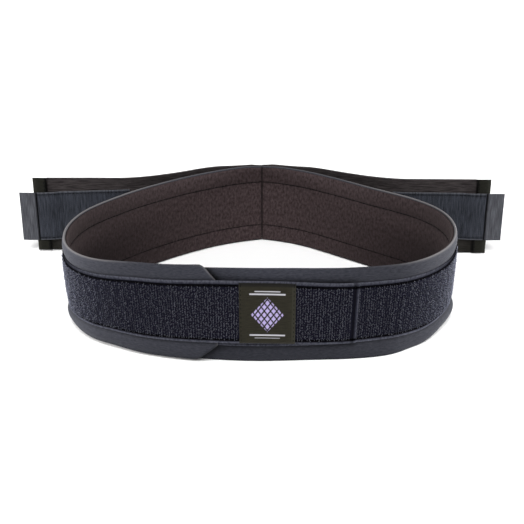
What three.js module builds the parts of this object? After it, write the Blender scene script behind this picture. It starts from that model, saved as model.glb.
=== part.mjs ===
// Sacroiliac belt: a soft belt standing on its lower edge, fastened in front, with two pull straps.
// +X is to the viewer's right, +Y runs from the front closure to the back seam, +Z is up.
import * as THREE from "three";

// Sizes in millimetres, angles in degrees
const BELT_HEIGHT = 76;
const LOOP_DEPTH = 242;
const ORIGIN_BEHIND_FRONT = 117.4;
const SEAM_TURN = 14;
const GAP = 0.3;
const STATION_STEP = 8;
const STATION_APART = 1;

// Layers of each half, from the wearer outward
const LINING_THICK = 1.6;
const PANEL_THICK = 1.6;
const TAPE_THICK = 1.8;
const TAPE_HEIGHT = 50;
const SELVAGE_THICK = 1.0;
const SELVAGE_WIDTH = 2.5;
const PILE_SLOPE = 0.8;
const TAPE_FROM_SEAM = 36;
const EDGE_ROUND = 0.4;

// Where the halves end, measured along the belt from the front centre, left is negative
const LEFT_END = -32;
const RIGHT_END = -74;
const TONGUE_END = 68.5;
const TAPER_LENGTH = 12;
const TAPER_RISE = 13;
const TAPER_ROUND = 3;

// Closure pieces on the front
const CLOSURE_THICK = 1.2;
const CLOSURE_HEIGHT = 46;
const CLOSURE_MARGIN = 3;
const LABEL_FROM = -16.2;
const LABEL_TO = 23.8;
const LABEL_THICK = 1.0;
const LABEL_HEIGHT = 48;

// Pull straps
const STRAP_THICK = 2;
const STRAP_HEIGHT = 73;
const STRAP_REACH = 211;
const STRAP_EDGE = 0.6;
const SEAM_HALF_GAP = 0.4;
const HEM_LENGTH = 13;
const HEM_STEP = 1;
const HOOK_THICK = 1.5;
const HOOK_HEIGHT = 46;
const HOOK_ON_STRAP = 85;
const TAB_LENGTH = 13;

// Offsets of the layers' inner faces from the inside of the belt
const PANEL_OUT = LINING_THICK + GAP;
const TAPE_OUT = PANEL_OUT + PANEL_THICK + GAP;
const LAP_OUT = TAPE_OUT + TAPE_THICK + GAP;
const TONGUE_OUT = LAP_OUT + CLOSURE_THICK + GAP - TAPE_OUT;
const STRAP_OUT = PANEL_OUT + PANEL_THICK + GAP;

// Plan of each half: arcs that follow one another from the back seam round to the front.
// flare is how far the top edge stands outside the bottom edge at the end of the arc.
// The back run and the front have no set length, they close the half on the centre line.
const LEFT_PLAN = [
  { arc: "shoulder", length: 63.7, turn: 21.6, flare: 0 },
  { arc: "back run", length: null, turn: 16.6, flare: 0 },
  { arc: "hip", length: 70.2, turn: 36.3, flare: 2 },
  { arc: "corner", length: 69.8, turn: 66.3, flare: 10 },
  { arc: "front", length: null, turn: null, flare: 2 },
];
const RIGHT_PLAN = [
  { arc: "shoulder", length: 60.3, turn: 26.9, flare: 0 },
  { arc: "back run", length: null, turn: 0, flare: 0 },
  { arc: "hip", length: 89.7, turn: 59.9, flare: 2.5 },
  { arc: "corner", length: 85.1, turn: 62.1, flare: 9.5 },
  { arc: "front", length: null, turn: null, flare: 2 },
];

// How the left half climbs over the right half and how its tongue comes down again
const LAP = [
  { along: -160, out: 0, lift: 0 },
  { along: -82, out: LAP_OUT, lift: 4 },
  { along: -31, out: LAP_OUT, lift: 5 },
  { along: -6, out: TONGUE_OUT, lift: 4 },
  { along: TONGUE_END, out: TONGUE_OUT, lift: 1.5 },
];

// Plan of each strap: sewn along the panel, peeling off it, then standing out sideways.
// lift is how far its lower edge is off the floor at the end of the arc.
const LEFT_STRAP_PLAN = [
  { arc: "sewn", length: 12, turn: 3, lift: 3 },
  { arc: "peel", length: 25.4, turn: -11, lift: 2.5 },
  { arc: "bend in", length: 43, turn: 21.8, lift: 1.2 },
  { arc: "bend out", length: 63.3, turn: -30.4, lift: 0 },
  { arc: "reach", length: null, turn: 0, lift: 0 },
];
const RIGHT_STRAP_PLAN = [
  { arc: "sewn", length: 12, turn: 3, lift: 3 },
  { arc: "peel", length: 27.4, turn: -9.2, lift: 2.5 },
  { arc: "bend in", length: 41.5, turn: 20.2, lift: 1.2 },
  { arc: "bend out", length: 63.5, turn: -27.5, lift: 0 },
  { arc: "reach", length: null, turn: 0, lift: 0 },
];

// The straight way across an arc of unit length that starts on a heading and turns.
// A heading of 0 runs along +X and turns toward the front.
function chordPerLength(heading, turn) {
  const half = THREE.MathUtils.degToRad(turn / 2);
  const direction = THREE.MathUtils.degToRad(heading) + half;
  const share = Math.abs(half) < 1e-9 ? 1 : Math.sin(half) / half;
  return new THREE.Vector2(share * Math.cos(direction), -share * Math.sin(direction));
}

// A path of arcs from a start point. Past its end it runs on straight.
// The values of one column of its rows are eased from arc to arc.
function arcPath(start, heading, rows, column) {
  const arcs = [];
  let from = 0;
  let point = start.clone();
  let before = rows[0][column];
  for (const row of rows) {
    arcs.push({ ...row, from, point, heading, before, after: row[column] });
    point = point.clone().addScaledVector(chordPerLength(heading, row.turn), row.length);
    heading += row.turn;
    before = row[column];
    from += row.length;
  }
  arcs.push({ from, length: 1, turn: 0, point, heading, before, after: before });
  const at = (distance) => {
    const arc = arcs.filter((a) => a.from <= distance).pop();
    const done = distance - arc.from;
    const turned = (arc.turn * done) / arc.length;
    const chord = chordPerLength(arc.heading, turned);
    const share = THREE.MathUtils.smoothstep(done, 0, arc.length);
    return {
      point: arc.point.clone().addScaledVector(chord, done),
      heading: arc.heading + turned,
      eased: THREE.MathUtils.lerp(arc.before, arc.after, share),
    };
  };
  return { length: from, at };
}

// Fills in the two free lengths and the last turn of a half, so that it ends square on the centre line.
function closedHalf(plan) {
  const turned = plan.slice(0, -1).reduce((sum, row) => sum + row.turn, SEAM_TURN);
  const rows = plan.map((row) => ({ ...row, turn: row.turn ?? 180 - turned }));
  const free = [];
  const left = new THREE.Vector2(0, -LOOP_DEPTH);
  let heading = SEAM_TURN;
  for (const row of rows) {
    const chord = chordPerLength(heading, row.turn);
    if (row.length === null) {
      free.push({ row, chord });
    } else {
      left.addScaledVector(chord, -row.length);
    }
    heading += row.turn;
  }
  const [first, second] = free;
  const cross = first.chord.cross(second.chord);
  first.row.length = left.cross(second.chord) / cross;
  second.row.length = first.chord.cross(left) / cross;
  return arcPath(new THREE.Vector2(0, LOOP_DEPTH), SEAM_TURN, rows, "flare");
}

// Gives the last row of a strap the length that takes it out to its reach.
function reachingStrap(plan) {
  const start = new THREE.Vector2(0, LOOP_DEPTH + STRAP_OUT);
  const sewn = arcPath(start, SEAM_TURN, plan.slice(0, -1), "lift");
  const end = sewn.at(sewn.length);
  const reach = plan.at(-1);
  const length = (STRAP_REACH - end.point.x) / chordPerLength(end.heading, reach.turn).x;
  return arcPath(start, SEAM_TURN, [...plan.slice(0, -1), { ...reach, length }], "lift");
}

const leftHalf = closedHalf(LEFT_PLAN);
const rightHalf = closedHalf(RIGHT_PLAN);
const leftStrap = reachingStrap(LEFT_STRAP_PLAN);
const rightStrap = reachingStrap(RIGHT_STRAP_PLAN);

// A point of a wall that stands on a path: out is across the wall, up is above the floor.
function wallPoint(place, side, out, up) {
  const angle = THREE.MathUtils.degToRad(place.heading);
  const x = side * (place.point.x + out * Math.sin(angle));
  const y = place.point.y + out * Math.cos(angle);
  return new THREE.Vector3(x, y - ORIGIN_BEHIND_FRONT, up);
}

// The same on the belt, by the distance along it from the front centre, with the flare of its top edge.
function beltPoint(along, out, up) {
  const half = along < 0 ? leftHalf : rightHalf;
  const place = half.at(half.length - Math.abs(along));
  return wallPoint(place, Math.sign(along) || 1, out + (place.eased * up) / BELT_HEIGHT, up);
}

// Values of the lap table at a place along the belt, eased between its rows.
function lapAt(along) {
  const next = LAP.findIndex((row) => row.along >= along);
  if (next === 0) {
    return LAP[0];
  }
  if (next < 0) {
    return LAP.at(-1);
  }
  const [a, b] = [LAP[next - 1], LAP[next]];
  const share = THREE.MathUtils.smoothstep(along, a.along, b.along);
  return {
    out: THREE.MathUtils.lerp(a.out, b.out, share),
    lift: THREE.MathUtils.lerp(a.lift, b.lift, share),
  };
}

const noLap = () => ({ out: 0, lift: 0 });

// How much is cut off the top and bottom corners near a tapered end.
function taperAt(beforeEnd) {
  const into = TAPER_LENGTH - beforeEnd;
  if (into <= 0) {
    return 0;
  }
  const slope = TAPER_RISE / (TAPER_LENGTH - TAPER_ROUND / 2);
  const rounded = (slope * into * into) / (2 * TAPER_ROUND);
  return into < TAPER_ROUND ? rounded : slope * (into - TAPER_ROUND / 2);
}

// Cross sections, as rows of out and up, round the section from the inner bottom edge
function wallSection(inner, thick, low, high) {
  const outer = inner + thick;
  const round = EDGE_ROUND;
  return [
    { out: inner, up: low + round },
    { out: inner + round, up: low },
    { out: outer - round, up: low },
    { out: outer, up: low + round },
    { out: outer, up: high - round },
    { out: outer - round, up: high },
    { out: inner + round, up: high },
    { out: inner, up: high - round },
  ];
}

// A tape with flat selvages along both edges and a raised pile between them.
function tapeSection(inner, low, high) {
  const flat = inner + SELVAGE_THICK;
  const pile = inner + TAPE_THICK;
  const pileEdge = SELVAGE_WIDTH + PILE_SLOPE;
  return [
    { out: inner, up: low },
    { out: flat, up: low },
    { out: flat, up: low + SELVAGE_WIDTH },
    { out: pile, up: low + pileEdge },
    { out: pile, up: high - pileEdge },
    { out: flat, up: high - SELVAGE_WIDTH },
    { out: flat, up: high },
    { out: inner, up: high },
  ];
}

// Places along a piece: its ends, the steps of a grid that all pieces share, and where its section changes.
function stations(from, to, changes = []) {
  const count = Math.ceil((to - from) / STATION_STEP);
  const first = Math.ceil(from / STATION_STEP);
  const grid = Array.from({ length: count }, (_, i) => (first + i) * STATION_STEP);
  const own = [from, to, ...changes];
  const clear = grid.filter((g) => g < to && own.every((x) => Math.abs(g - x) > STATION_APART));
  return [...clear, ...own].sort((a, b) => a - b);
}

// A closed solid through a row of sections, capped at both ends, with its faces turned outward.
// Every four-sided face is split from its lower corner to its upper one, so that layers nest.
function loft(places, sectionAt, pointAt) {
  const sections = places.map(sectionAt);
  const sides = sections[0].length;
  const points = sections.flatMap((section, i) => section.map((p) => pointAt(places[i], p.out, p.up)));
  const faces = [];
  for (let i = 0; i + 1 < places.length; i++) {
    for (let j = 0; j < sides; j++) {
      const a = i * sides + j;
      const b = i * sides + ((j + 1) % sides);
      const rising = sections[i][b % sides].up >= sections[i][j].up;
      if (rising) {
        faces.push([a, b, b + sides], [a, b + sides, a + sides]);
      } else {
        faces.push([a, b, a + sides], [b, b + sides, a + sides]);
      }
    }
  }
  const capFaces = (section) =>
    THREE.ShapeUtils.triangulateShape(section.map((p) => new THREE.Vector2(p.out, p.up)), []);
  const last = (places.length - 1) * sides;
  faces.push(...capFaces(sections[0]).map(([a, b, c]) => [a, c, b]));
  faces.push(...capFaces(sections.at(-1)).map((face) => face.map((k) => k + last)));
  const volume = faces.reduce(
    (sum, [a, b, c]) => sum + points[a].dot(points[b].clone().cross(points[c])),
    0,
  );
  const outward = volume > 0 ? faces : faces.map(([a, b, c]) => [a, c, b]);
  const geometry = new THREE.BufferGeometry().setFromPoints(points);
  geometry.setIndex(outward.flat());
  geometry.computeVertexNormals();
  return geometry;
}

const group = new THREE.Group();
group.name = "sacroiliac_belt";

function addPiece(name, geometry, color, roughness) {
  const material = new THREE.MeshStandardMaterial({ color, roughness, metalness: 0 });
  const mesh = new THREE.Mesh(geometry, material);
  mesh.name = name;
  group.add(mesh);
}

const PANEL_COLOR = 0x3e3f4a;
const LINING_COLOR = 0x3b3132;
const TAPE_COLOR = 0x2b2b34;
const HOOK_COLOR = 0x3d404a;
const ELASTIC_COLOR = 0x2c2929;
const LABEL_COLOR = 0x2e2e28;
const CLOTH_ROUGHNESS = 0.9;
const SATIN_ROUGHNESS = 0.5;

// Panels and their linings
const leftFrom = SEAM_HALF_GAP - leftHalf.length;
const rightFrom = rightHalf.length - SEAM_HALF_GAP;
const taperPlaces = (end, inward) =>
  [TAPER_ROUND, TAPER_ROUND / 2, 0].map((into) => end + inward * (TAPER_LENGTH - into));
const layers = [
  { layer: "lining", out: 0, thick: LINING_THICK, color: LINING_COLOR },
  { layer: "panel", out: PANEL_OUT, thick: PANEL_THICK, color: PANEL_COLOR },
];
for (const { layer, out, thick, color } of layers) {
  const leftSection = (along) => {
    const lap = lapAt(along);
    const cut = taperAt(LEFT_END - along);
    return wallSection(out + lap.out, thick, cut + lap.lift, BELT_HEIGHT - cut + lap.lift);
  };
  const rightSection = (along) => {
    const cut = taperAt(along - RIGHT_END);
    return wallSection(out, thick, cut, BELT_HEIGHT - cut);
  };
  const leftPlaces = stations(leftFrom, LEFT_END, taperPlaces(LEFT_END, -1));
  const rightPlaces = stations(RIGHT_END, rightFrom, taperPlaces(RIGHT_END, 1));
  addPiece(`${layer}_left`, loft(leftPlaces, leftSection, beltPoint), color, CLOTH_ROUGHNESS);
  addPiece(`${layer}_right`, loft(rightPlaces, rightSection, beltPoint), color, CLOTH_ROUGHNESS);
}

// Loop tapes, the left one running on as the tongue
const tapeLow = (BELT_HEIGHT - TAPE_HEIGHT) / 2;
const tapeOn = (lap) => (along) => {
  const { out, lift } = lap(along);
  return tapeSection(TAPE_OUT + out, tapeLow + lift, tapeLow + TAPE_HEIGHT + lift);
};
const leftTapePlaces = stations(TAPE_FROM_SEAM - leftHalf.length, TONGUE_END);
const rightTapePlaces = stations(RIGHT_END, rightHalf.length - TAPE_FROM_SEAM);
addPiece("loop_tape_left", loft(leftTapePlaces, tapeOn(lapAt), beltPoint), TAPE_COLOR, CLOTH_ROUGHNESS);
addPiece("loop_tape_right", loft(rightTapePlaces, tapeOn(noLap), beltPoint), TAPE_COLOR, CLOTH_ROUGHNESS);

// Hook patch that is hidden under the tongue
const closureLow = (BELT_HEIGHT - CLOSURE_HEIGHT) / 2;
const closureSection = (along) => {
  const low = closureLow + lapAt(along).lift;
  return wallSection(LAP_OUT, CLOSURE_THICK, low, low + CLOSURE_HEIGHT);
};
const closurePlaces = stations(LEFT_END + CLOSURE_MARGIN, TONGUE_END - CLOSURE_MARGIN);
addPiece("closure_hook", loft(closurePlaces, closureSection, beltPoint), HOOK_COLOR, CLOTH_ROUGHNESS);

// Label on the tongue
const labelLow = (BELT_HEIGHT - LABEL_HEIGHT) / 2;
const labelSection = (along) => {
  const { out, lift } = lapAt(along);
  const inner = TAPE_OUT + out + TAPE_THICK + GAP;
  return wallSection(inner, LABEL_THICK, labelLow + lift, labelLow + LABEL_HEIGHT + lift);
};
const labelPlaces = stations(LABEL_FROM, LABEL_TO);
addPiece("label", loft(labelPlaces, labelSection, beltPoint), LABEL_COLOR, SATIN_ROUGHNESS);

// Elastic straps with a folded hem, and the hook strips on their front faces
const hookLow = (STRAP_HEIGHT - HOOK_HEIGHT) / 2;
const straps = [
  { name: "left", path: leftStrap, side: -1 },
  { name: "right", path: rightStrap, side: 1 },
];
for (const { name, path, side } of straps) {
  const pointAt = (distance, out, up) => {
    const place = path.at(distance);
    return wallPoint(place, side, out, up + place.eased);
  };
  const hemFrom = path.length - HEM_LENGTH;
  const hemAt = (distance) => THREE.MathUtils.clamp((distance - hemFrom) / HEM_STEP, 0, 1);
  const strapSection = (distance) => {
    const hem = hemAt(distance);
    const edge = STRAP_EDGE * (1 - hem);
    return wallSection(-STRAP_THICK * hem, STRAP_THICK * (1 + hem), edge, STRAP_HEIGHT - edge);
  };
  const hookSection = (distance) => {
    const step = STRAP_THICK * hemAt(distance + HEM_STEP + HOOK_THICK);
    const inner = -(step + GAP + HOOK_THICK);
    return wallSection(inner, HOOK_THICK, hookLow, hookLow + HOOK_HEIGHT);
  };
  const strapPlaces = stations(SEAM_HALF_GAP, path.length, [hemFrom, hemFrom + HEM_STEP]);
  const hookStep = hemFrom - HEM_STEP - HOOK_THICK;
  const hookEnds = [path.length - HOOK_ON_STRAP, path.length + TAB_LENGTH];
  const hookPlaces = stations(...hookEnds, [hookStep, hookStep + HEM_STEP]);
  addPiece(`strap_${name}`, loft(strapPlaces, strapSection, pointAt), ELASTIC_COLOR, CLOTH_ROUGHNESS);
  addPiece(`hook_strip_${name}`, loft(hookPlaces, hookSection, pointAt), HOOK_COLOR, CLOTH_ROUGHNESS);
}

export default group;
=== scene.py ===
import bpy
import numpy as np
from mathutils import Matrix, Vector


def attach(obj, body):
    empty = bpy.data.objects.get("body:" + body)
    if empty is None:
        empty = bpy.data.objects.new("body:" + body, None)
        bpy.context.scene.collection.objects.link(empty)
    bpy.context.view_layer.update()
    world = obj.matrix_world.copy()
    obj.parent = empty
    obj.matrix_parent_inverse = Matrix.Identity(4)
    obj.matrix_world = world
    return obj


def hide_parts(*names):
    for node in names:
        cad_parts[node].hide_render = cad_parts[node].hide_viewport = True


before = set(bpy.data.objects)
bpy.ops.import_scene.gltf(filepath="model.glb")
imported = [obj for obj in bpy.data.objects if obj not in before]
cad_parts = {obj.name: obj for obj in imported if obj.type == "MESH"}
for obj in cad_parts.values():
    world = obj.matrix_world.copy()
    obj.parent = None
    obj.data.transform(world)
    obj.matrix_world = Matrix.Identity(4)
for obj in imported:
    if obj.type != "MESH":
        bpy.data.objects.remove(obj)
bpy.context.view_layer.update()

# Linings: a brushed knit bonded to thin foam, the soft face that lies on the wearer's skin.
# Each half is one band cut from the roll, and the two meet in a plain seam at the back.
# Two rows of lockstitch hold the loop tape through it and press grooves into the nap.
BELT_HEIGHT = 76.0
LOOP_DEPTH = 242.0
ORIGIN_BEHIND_FRONT = 117.4
SEAM_TURN = 14.0
SEAM_HALF_GAP = 0.02
MITRE_REACH = 6.0

# Arcs from the back seam round to the front: length, turn, and the top edge's flare at the arc's end
LEFT_PLAN = [
    (63.7, 21.6, 0.0),
    (98.615, 16.6, 0.0),
    (70.2, 36.3, 2.0),
    (69.8, 66.3, 10.0),
    (120.745, 25.2, 2.0),
]
RIGHT_PLAN = [
    (60.3, 26.9, 0.0),
    (89.96, 0.0, 0.0),
    (89.7, 59.9, 2.5),
    (85.1, 62.1, 9.5),
    (96.508, 17.1, 2.0),
]
LEFT_LENGTH = sum(row[0] for row in LEFT_PLAN)
RIGHT_LENGTH = sum(row[0] for row in RIGHT_PLAN)
HALF_LENGTHS = {"left": LEFT_LENGTH, "right": RIGHT_LENGTH}

# The halves' front ends, by the way along the belt from the front centre, left negative
LEFT_END = -32.0
RIGHT_END = -74.0
TONGUE_END = 68.5
TAPER_LOW, TAPER_HIGH = 17.0, 12.0
TAPER_RISE = 13.0
TAPER_ROUND = 5.0

# How the left half climbs over the right one: along, outward, upward
LAP_OUT = 5.9
TONGUE_OUT = 3.6
LAP = np.array([
    (-180.0, 0.0, 0.0),
    (-82.0, LAP_OUT, 4.2),
    (LEFT_END + 1.0, LAP_OUT, 5.0),
    (-6.0, TONGUE_OUT, 4.0),
    (TONGUE_END, TONGUE_OUT, 1.5),
])
LOW_EDGE_LIFT = 0.5

# How the edges stray from the plan: along, lower edge outward and upward, upper edge upward
STRAY = np.array([
    (-200.0, 0.0, 0.0, 0.0), (-152.0, 0.0, 2.6, -0.6), (-122.0, 0.0, 2.2, -0.5), (-82.0, 0.0, 0.0, 0.9),
    (25.0, 0.0, 0.0, 1.2), (92.0, 5.0, 0.0, 0.8), (120.0, 1.6, 0.4, 1.1), (156.0, 0.0, 3.4, 0.4),
    (205.0, 0.0, 0.0, 0.0),
])
STRAY_FROM, STRAY_TO = 20.0, 65.0
LIFT_TO = 50.0

STITCH_ROWS = (16.5, 60.0)
LINING_FACES = (0.0, 1.72)
LINING_INSET = 1.2
GROOVE_DEPTH = 0.8
GROOVE_WIDE = 0.8
LINING_PUFF = 0.6
PUCKER_DEPTH = 0.22
PUCKER_LENGTH = 7.3
PUCKER_REACH = 3.5
PUCKER_WANDER, WANDER_LENGTH = 2.1, 13.0
STATION_STEP = 2.2
EDGE_FLAT = 0.25


def ease(share):
    """A smooth step from 0 to 1: three times the square less twice the cube."""
    share = np.clip(share, 0, 1)
    return share * share * (3 - 2 * share)


def climb(value, start, stop):
    """An eased step: 0 up to the start, 1 from the stop on."""
    return ease((value - start) / (stop - start))


def bell(away, reach):
    """A bell curve: e to the power of minus the square of the way off its middle over its reach."""
    return np.exp(-((away / reach) ** 2))


def eased(table, along):
    """The values of a table at a place, eased from each row to the next. Its first column is the place."""
    place = np.clip(along, table[0, 0], table[-1, 0])
    row = np.clip(np.searchsorted(table[:, 0], place, "right") - 1, 0, len(table) - 2)
    share = ease((place - table[row, 0]) / (table[row + 1, 0] - table[row, 0]))
    return np.moveaxis(table[row, 1:] + (table[row + 1, 1:] - table[row, 1:]) * share[..., None], -1, 0)


def across(heading, turn):
    """The straight way across an arc of unit length: sin(half turn) over half turn, at the heading plus
    half the turn. A heading of 0 runs along +X and turns toward the front."""
    half = np.radians(turn) / 2
    way = np.radians(heading) + half
    return np.asarray(np.sinc(half / np.pi))[..., None] * np.stack([np.cos(way), -np.sin(way)], -1)


def arc_path(start, heading, rows, first=0.0):
    """Arcs that follow one another from a start point. Gives a function of the distance, which returns the
    point, the heading and the rows' last value, eased along each arc from the first value. Past its end the
    path runs straight."""
    length, turn, after = np.array([*rows, (1.0, 0.0, rows[-1][2])]).T
    before = np.concatenate([[first], after[:-1]])
    begin = np.concatenate([[0.0], np.cumsum(length)[:-1]])
    headed = heading + np.concatenate([[0.0], np.cumsum(turn)[:-1]])
    ways = np.cumsum(across(headed, turn) * length[:, None], 0)
    corner = np.array(start) + np.concatenate([np.zeros((1, 2)), ways[:-1]])

    def at(distance):
        arc = np.clip(np.searchsorted(begin, distance, "right") - 1, 0, None)
        done = distance - begin[arc]
        turned = turn[arc] * done / length[arc]
        point = corner[arc] + across(headed[arc], turned) * done[..., None]
        return point, headed[arc] + turned, before[arc] + (after - before)[arc] * ease(done / length[arc])

    return at


def mitred(distance, out):
    """The way along from the back seam, drawn back near the seam by the offset times the tangent of the
    seam's turn, so that both halves end on the plane between them."""
    return distance - out * np.tan(np.radians(SEAM_TURN)) * np.clip(1 - distance / MITRE_REACH, 0, 1)


def upright(point, heading, side, out, up):
    """A point of an upright wall in metres: out across the wall from its path, up above the floor."""
    turn = np.radians(heading)
    x = side * (point[..., 0] + out * np.sin(turn))
    y = point[..., 1] + out * np.cos(turn) - ORIGIN_BEHIND_FRONT
    return np.stack(np.broadcast_arrays(x, y, up), -1) / 1000


left_path = arc_path((0.0, LOOP_DEPTH), SEAM_TURN, LEFT_PLAN)
right_path = arc_path((0.0, LOOP_DEPTH), SEAM_TURN, RIGHT_PLAN)

# The soft wall's lean off its plan: slow waves, and at the side corners a belly, a lower stitched row that
# is pulled in, and a bulge in the border below it
WAVES = ((0.3, 108.0, 0.4), (0.2, 57.0, 1.9))
CORNER_AT = 205.0
CORNER_REACH = 62.0
LEFT_BELLY, RIGHT_BELLY = 1.8, 0.4
LEFT_PULL, RIGHT_PULL, PULL_AT, PULL_REACH = 1.5, 2.8, 14.0, 3.4
BULGE = 3.4
BULGE_BEND = 0.75


def sway(along, up, below):
    """Outward lean: sines along the belt that grow with height, and round each side corner, by a bell curve
    along the belt, half a sine up the wall, less a bell at the pulled row, plus half a sine below it."""
    waves = sum(size * np.sin(2 * np.pi * along / length + phase) for size, length, phase in WAVES)
    corner = bell(np.abs(along) - CORNER_AT, CORNER_REACH)
    belly = np.where(along < 0, LEFT_BELLY, RIGHT_BELLY) * np.sin(np.pi * np.clip(up / BELT_HEIGHT, 0, 1))
    pulled = np.where(along < 0, LEFT_PULL, RIGHT_PULL) * bell(up - PULL_AT, PULL_REACH)
    bulge = BULGE * np.sin(np.pi * below**BULGE_BEND)
    return waves * up / BELT_HEIGHT + corner * (belly - pulled + bulge)


def belt(along, out, up):
    """A point of the belt: the path at that way along it, moved outward by the layer's offset, by the flare
    in proportion to the height and by the sway, with its lower and upper edge strayed by the table."""
    along, out, up = np.broadcast_arrays(np.asarray(along, float), out, up)
    below = np.clip((STITCH_ROWS[0] - up) / STITCH_ROWS[0], 0, 1)
    low_out, low_lift, high_lift = eased(STRAY, along)
    out = out + sway(along, up, below) + low_out * ease(below)
    left = left_path(mitred(LEFT_LENGTH + along, out))
    right = right_path(mitred(RIGHT_LENGTH - along, out))
    isleft = along < 0
    point = np.where(isleft[..., None], left[0], right[0])
    heading = np.where(isleft, left[1], right[1])
    flare = np.where(isleft, left[2], right[2])
    strayed = low_lift * ease(1 - up / LIFT_TO) + high_lift * climb(up, STRAY_FROM, STRAY_TO)
    return upright(point, heading, np.where(isleft, -1, 1), out + flare * up / BELT_HEIGHT, up + strayed)


def taper(before_end, length):
    """What is cut off a corner near a tapered end: a straight slope that starts with a rounded bend."""
    into = np.clip(length - before_end, 0, None)
    slope = TAPER_RISE / (length - TAPER_ROUND / 2)
    bend = slope * into * into / (2 * TAPER_ROUND)
    return np.where(into < TAPER_ROUND, bend, slope * (into - TAPER_ROUND / 2))


def steps(start, stop, coarse, near=(), reach=2.4, fine=0.4, edge=0.8, least=0.02):
    """Places from start to stop: coarse steps, fine ones round each place in near, and a few that close up
    on both ends, where an edge is rounded. No two are closer than the least step."""
    parts = [np.linspace(start, stop, int(np.ceil((stop - start) / coarse)) + 1)]
    parts += [np.arange(place - reach, place + reach, fine) for place in near]
    rounding = edge * np.array([0.04, 0.18, 0.5, 1.0])
    parts += [start + rounding, stop - rounding]
    places = np.unique(np.round(np.clip(np.concatenate(parts), start, stop), 3))
    return places[np.concatenate([[True], np.diff(places) > least])]


def cells(grid):
    """The four-sided faces between neighbouring points of a grid of vertex numbers."""
    corners = grid[:-1, :-1], grid[1:, :-1], grid[1:, 1:], grid[:-1, 1:]
    return np.stack(corners, -1).reshape(-1, 4)


def piece(name, slot, points, faces, material, **values):
    """Puts points and faces into a smooth mesh. A face has four corners, or three if it repeats one. Faces
    are turned outward, by the sign of the volume that they close with the origin. values are per point."""
    a, b, c, d = (points[faces[:, i]] for i in range(4))
    volume = np.sum(np.cross(a, b) * c) + np.sum(np.cross(a, c) * d)
    faces = faces if volume > 0 else faces[:, ::-1]
    mesh = bpy.data.meshes.new(name)
    mesh.vertices.add(len(points))
    mesh.vertices.foreach_set("co", points.astype(np.float32).ravel())
    corners = faces != np.roll(faces, 1, 1)
    first = np.cumsum(corners.sum(1)) - corners.sum(1)
    mesh.loops.add(int(corners.sum()))
    mesh.loops.foreach_set("vertex_index", faces[corners].astype(np.int32))
    mesh.polygons.add(len(faces))
    mesh.polygons.foreach_set("loop_start", first.astype(np.int32))
    mesh.polygons.foreach_set("use_smooth", np.ones(len(faces), bool))
    for key, value in values.items():
        kind, field = ("FLOAT", "value") if value.ndim == 1 else ("FLOAT_VECTOR", "vector")
        mesh.attributes.new(key, kind, "POINT").data.foreach_set(field, value.astype(np.float32).ravel())
    mesh.update(calc_edges=True)
    mesh.materials.append(material)
    made = bpy.data.objects.new(name, mesh)
    bpy.context.scene.collection.objects.link(made)
    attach(made, "root")
    return made


def band(name, slot, along, up, inner, outer, place, material, **values):
    """A closed band of cloth: a grid of points on its inner face and one on its outer face, along by up,
    which close up to a rounded edge all round. cloth holds along, up and the face."""
    along = np.broadcast_to(along[:, None], up.shape)
    inner, outer = np.broadcast_to(inner, up.shape), np.broadcast_to(outer, up.shape)
    edge = np.minimum(up - up[:, :1], up[:, -1:] - up)
    edge = np.minimum(edge, np.minimum(along - along[:1], along[-1:] - along))
    share = np.clip(edge / ((outer - inner) / 2), 0, 1)
    closing = np.sqrt(np.clip(1 - (1 - share) ** 2, EDGE_FLAT**2, 1))
    middle, half = (inner + outer) / 2, (outer - inner) / 2 * closing
    points = np.stack([place(along, middle - half, up), place(along, middle + half, up)])
    count, wide = up.shape
    grid = np.arange(count * wide).reshape(count, wide)
    ring = np.concatenate([grid, grid[:, ::-1] + grid.size, grid[:, :1]], 1)
    ends = [np.stack([g, g + grid.size], 1) for g in (grid[0], grid[-1])]
    faces = np.concatenate([cells(ring), cells(ends[0]), cells(ends[1])[:, ::-1]])
    cloth = np.stack([np.stack([along, up, np.full(up.shape, side)], -1) for side in (0, 1)])
    values = {key: np.stack([np.broadcast_to(value, up.shape)] * 2).ravel() for key, value in values.items()}
    return piece(name, slot, points.reshape(-1, 3), faces, material, cloth=cloth.reshape(-1, 3), **values)


def rods(name, slot, along, out, up, place, material, **values):
    """Closed tubes, one for each entry of the first axis: rings of points on the second and third axes,
    joined ring to ring, the first and last ring closed by the faces across them."""
    count, rings, sides = along.shape
    points = place(along, out, up)
    ring = np.arange(rings * sides).reshape(rings, sides)
    tube = cells(np.concatenate([ring, ring[:, :1]], 1))
    fan = np.array([(0, i, i + 1, min(i + 2, sides - 1)) for i in range(1, sides - 1, 2)])
    tube = np.concatenate([tube, fan, fan[:, ::-1] + ring[-1, 0]])
    faces = (np.arange(count)[:, None, None] * ring.size + tube).reshape(-1, 4)
    cloth = np.stack([along, up, np.zeros_like(up)], -1)
    return piece(name, slot, points.reshape(-1, 3), faces, material, cloth=cloth.reshape(-1, 3), **values)


def srgb(code):
    """An sRGB hex colour as linear red, green and blue, with full alpha."""
    value = np.array([int(code[i:i + 2], 16) for i in (1, 3, 5)]) / 255
    linear = np.where(value <= 0.04045, value / 12.92, ((value + 0.055) / 1.055) ** 2.4)
    return (*linear.tolist(), 1.0)


def add(tree, kind, inputs, **settings):
    """Adds a node with its settings. inputs gives a value or a link for a socket's name or number."""
    made = tree.nodes.new(kind)
    for key, value in settings.items():
        setattr(made, key, value)
    for key, value in inputs.items():
        if isinstance(value, bpy.types.NodeSocket):
            tree.links.new(value, made.inputs[key])
        else:
            made.inputs[key].default_value = value
    return made


def finish(name, fixed):
    """Starts a material: one Principled shader with its fixed values set on its own sockets."""
    material = bpy.data.materials.new(name)
    material.use_nodes = True
    tree = material.node_tree
    shader = tree.nodes["Principled BSDF"]
    for key, value in fixed.items():
        shader.inputs[key].default_value = value
    return material, tree, shader.inputs


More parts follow.
